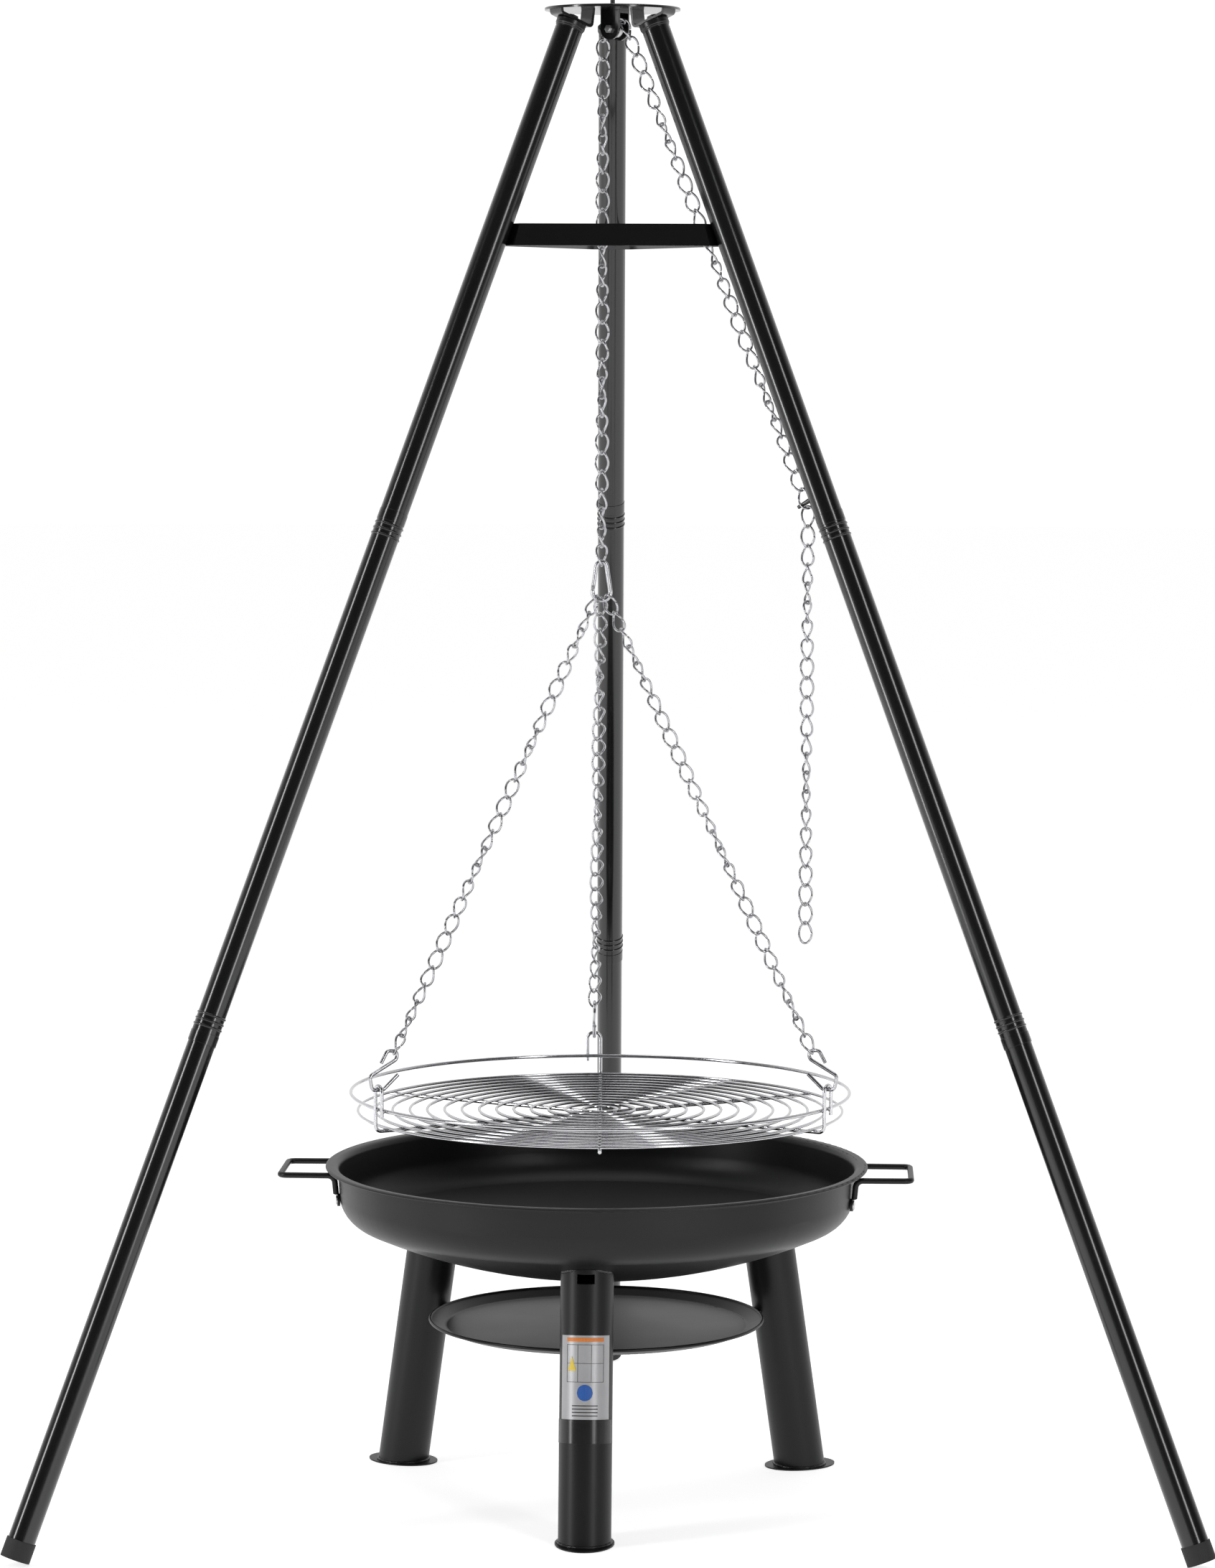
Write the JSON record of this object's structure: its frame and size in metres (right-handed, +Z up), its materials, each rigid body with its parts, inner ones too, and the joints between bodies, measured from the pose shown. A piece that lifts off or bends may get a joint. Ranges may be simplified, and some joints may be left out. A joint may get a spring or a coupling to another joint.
{
  "type": "campfire tripod grate",
  "caption": "Tripod stand with a pulley and chain hoist, a round cooking grate hung on chain slings, and a free-standing fire bowl with handles and an ash tray.",
  "frame": {"origin": "middle of the footprint on the ground; the tripod's own axis stands at y = -0.1788 m", "axes": "+Z up, the rear leg towards +Y, the opening between the two front legs towards -Y, the pulley's chain runs down the right leg on the +X side"},
  "size_m": [1.2718, 1.1058, 1.647],
  "materials": {
    "gloss_black": "gloss powder coat",
    "black_plug": "gloss",
    "satin_black": "satin heat-proof paint",
    "zinc_chain": "bright zinc",
    "bright_hooks": "bright zinc",
    "chromed_grate": "polished",
    "bright_steel": "satin",
    "dark_bolts": "blackened",
    "rubber": "matte",
    "label": "printed film, left blank"
  },
  "bodies": {
    "frame": {"top_disc": "gloss_black", "centre_bolt": "dark_bolts", "pulley_bracket": "gloss_black", "pulley_axle": "bright_steel", "axle_nut": "bright_steel", "leg_bolts": "dark_bolts", "brace_ring": "gloss_black", "brace_screws": "dark_bolts", "chain_hook": "gloss_black", "chain_run": "zinc_chain", "leg_strap_rear": "gloss_black", "leg_plug_rear": "black_plug", "leg_upper_rear": "gloss_black", "leg_middle_rear": "gloss_black", "leg_lower_rear": "gloss_black", "rubber_foot_rear": "rubber", "leg_strap_left": "gloss_black", "leg_plug_left": "black_plug", "leg_upper_left": "gloss_black", "leg_middle_left": "gloss_black", "leg_lower_left": "gloss_black", "rubber_foot_left": "rubber", "leg_strap_right": "gloss_black", "leg_plug_right": "black_plug", "leg_upper_right": "gloss_black", "leg_middle_right": "gloss_black", "leg_lower_right": "gloss_black", "rubber_foot_right": "rubber"},
    "pulley": {"pulley_wheel": "bright_steel"},
    "upper_chain": {"hoist_chain_upper": "zinc_chain"},
    "middle_chain": {"hoist_chain_middle": "zinc_chain"},
    "hung_grate": {"hoist_chain_lower": "zinc_chain", "carabiner_body": "bright_hooks", "gate_pin": "bright_hooks", "sling_rear": "zinc_chain", "sling_left": "zinc_chain", "sling_right": "zinc_chain", "s_hook_rear": "bright_hooks", "s_hook_left": "bright_hooks", "s_hook_right": "bright_hooks", "grate_rings": "chromed_grate", "grate_rim": "chromed_grate", "grate_rods": "chromed_grate"},
    "gate": {"carabiner_gate": "bright_hooks"},
    "upper_tail": {"tail_chain_upper": "zinc_chain"},
    "lower_tail": {"tail_chain_lower": "zinc_chain"},
    "bowl_unit": {"fire_bowl": "satin_black", "bowl_leg_front": "satin_black", "bowl_leg_left": "satin_black", "bowl_leg_right": "satin_black", "bowl_foot_plates": "satin_black", "leg_label": "label", "handle_left": "satin_black", "handle_right": "satin_black", "handle_rivets": "bright_steel", "ash_tray": "satin_black", "tray_tabs": "satin_black"}
  },
  "joints": [
    {"name": "pulley_spin", "type": "hinge", "parent": "frame", "child": "pulley", "pos_m": [0.0026, -0.18026, 1.6145], "axis": [0.5, 0.866, 0], "continuous": true},
    {"name": "grate_swing", "type": "hinge", "parent": "frame", "child": "upper_chain", "pos_m": [-0.01039, -0.17276, 1.6032], "axis": [0.866, -0.5, 0], "range_deg": [-8, 8]},
    {"name": "grate_lift", "type": "slide", "parent": "upper_chain", "child": "middle_chain", "axis": [0, 0, 1], "range_m": [0, 0.2856], "deforming": ["hoist_chain_upper"]},
    {"name": "grate_turn", "type": "hinge", "parent": "middle_chain", "child": "hung_grate", "pos_m": [-0.01039, -0.17276, 1.1748], "axis": [0, 0, 1], "range_deg": [-25, 25]},
    {"name": "gate_swing", "type": "hinge", "parent": "hung_grate", "child": "gate", "pos_m": [-0.01957, -0.17276, 1.00687], "axis": [0, 1, 0], "range_deg": [0, 28], "stiffness_Nm_per_rad": 0.05, "springref_deg": -17.19},
    {"name": "tail_lean", "type": "hinge", "parent": "frame", "child": "upper_tail", "pos_m": [0.21131, -0.30076, 1.0993], "axis": [-0.5, -0.866, 0], "range_deg": [0, 18.01]},
    {"name": "tail_pay_out", "type": "slide", "parent": "upper_tail", "child": "lower_tail", "axis": [0, 0, -1], "range_m": [0, 0.2856], "deforming": ["tail_chain_upper"]},
    {"name": "bowl_slide", "type": "slide", "parent": "frame", "child": "bowl_unit", "axis": [0, -1, 0], "range_m": [0, 0.9]}
  ],
  "couplings": [
    {"joint": "pulley_spin", "follows": "grate_lift", "rad_per_m": 87},
    {"joint": "tail_lean", "follows": "grate_lift", "rad_per_m": 1.1},
    {"joint": "tail_pay_out", "follows": "grate_lift", "ratio": 1}
  ]
}
